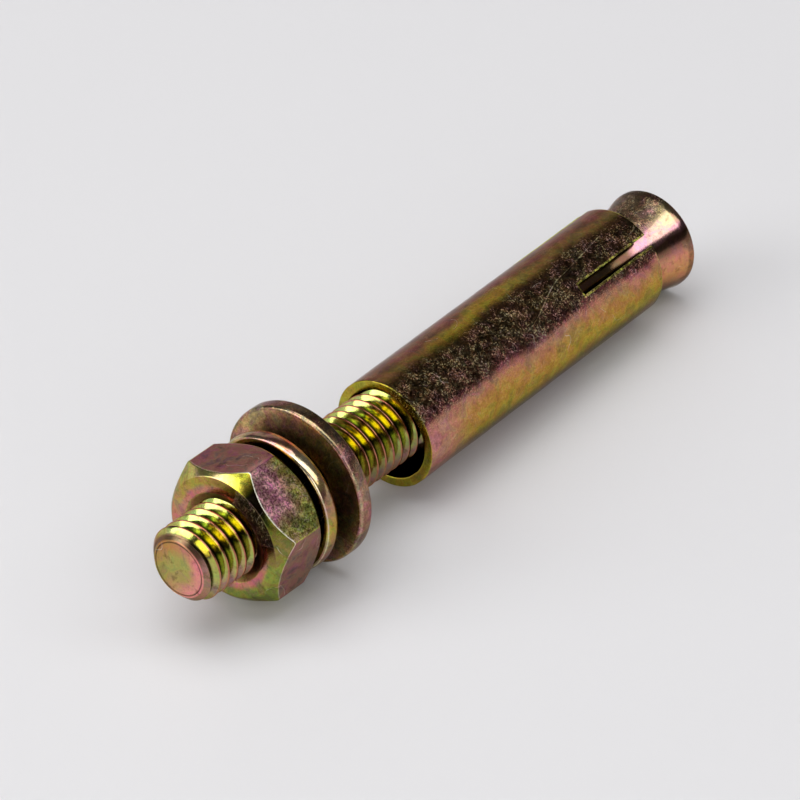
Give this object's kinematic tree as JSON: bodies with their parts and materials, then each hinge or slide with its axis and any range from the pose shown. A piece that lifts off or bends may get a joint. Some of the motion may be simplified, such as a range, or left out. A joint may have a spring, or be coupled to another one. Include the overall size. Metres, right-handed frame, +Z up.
{
  "type": "sleeve expansion anchor bolt",
  "caption": "Expansion anchor for masonry: a threaded stud with a flared cone end, a slotted sleeve, a flat washer, a spring washer and a hexagon nut, lying on its side.",
  "frame": {"origin": "on the surface that the anchor lies on, under the middle of its length", "axes": "+X along the stud from its threaded tip to its cone end, +Z up"},
  "size_m": [0.0906, 0.0204, 0.0205],
  "materials": {
    "stud": "yellow chromated zinc plate on rolled steel",
    "sleeve": "yellow chromated zinc plate on drawn tube",
    "washer": "yellow chromated zinc plate on punched steel",
    "spring_washer": "yellow chromated zinc plate on spring steel",
    "nut": "yellow chromated zinc plate on forged steel"
  },
  "bodies": {
    "stud": {"cone_bolt": "stud"},
    "lock_ring": {"spring_washer": "spring_washer"},
    "nut": {"hex_nut": "nut"},
    "washer": {"flat_washer": "washer"},
    "sleeve": {"expansion_sleeve": "sleeve"}
  },
  "joints": [
    {"name": "nut_travel", "type": "slide", "parent": "stud", "child": "lock_ring", "axis": [0.9988, 0, -0.0485], "range_m": [-0.0079, 0.0079]},
    {"name": "nut_turn", "type": "hinge", "parent": "lock_ring", "child": "nut", "pos_m": [-0.04515, 0, 0.01088], "axis": [0.9988, 0, -0.0485], "range_deg": [-1890, 1890]},
    {"name": "washer_slide", "type": "slide", "parent": "lock_ring", "child": "washer", "axis": [0.9988, 0, -0.0485], "range_m": [-0.0013, 0.002]},
    {"name": "sleeve_slide", "type": "slide", "parent": "stud", "child": "sleeve", "axis": [0.9988, 0, -0.0485], "range_m": [-0.0038, 0.0009]}
  ],
  "couplings": [
    {"joint": "nut_travel", "follows": "nut_turn", "m_per_rad": 0.00023873}
  ]
}
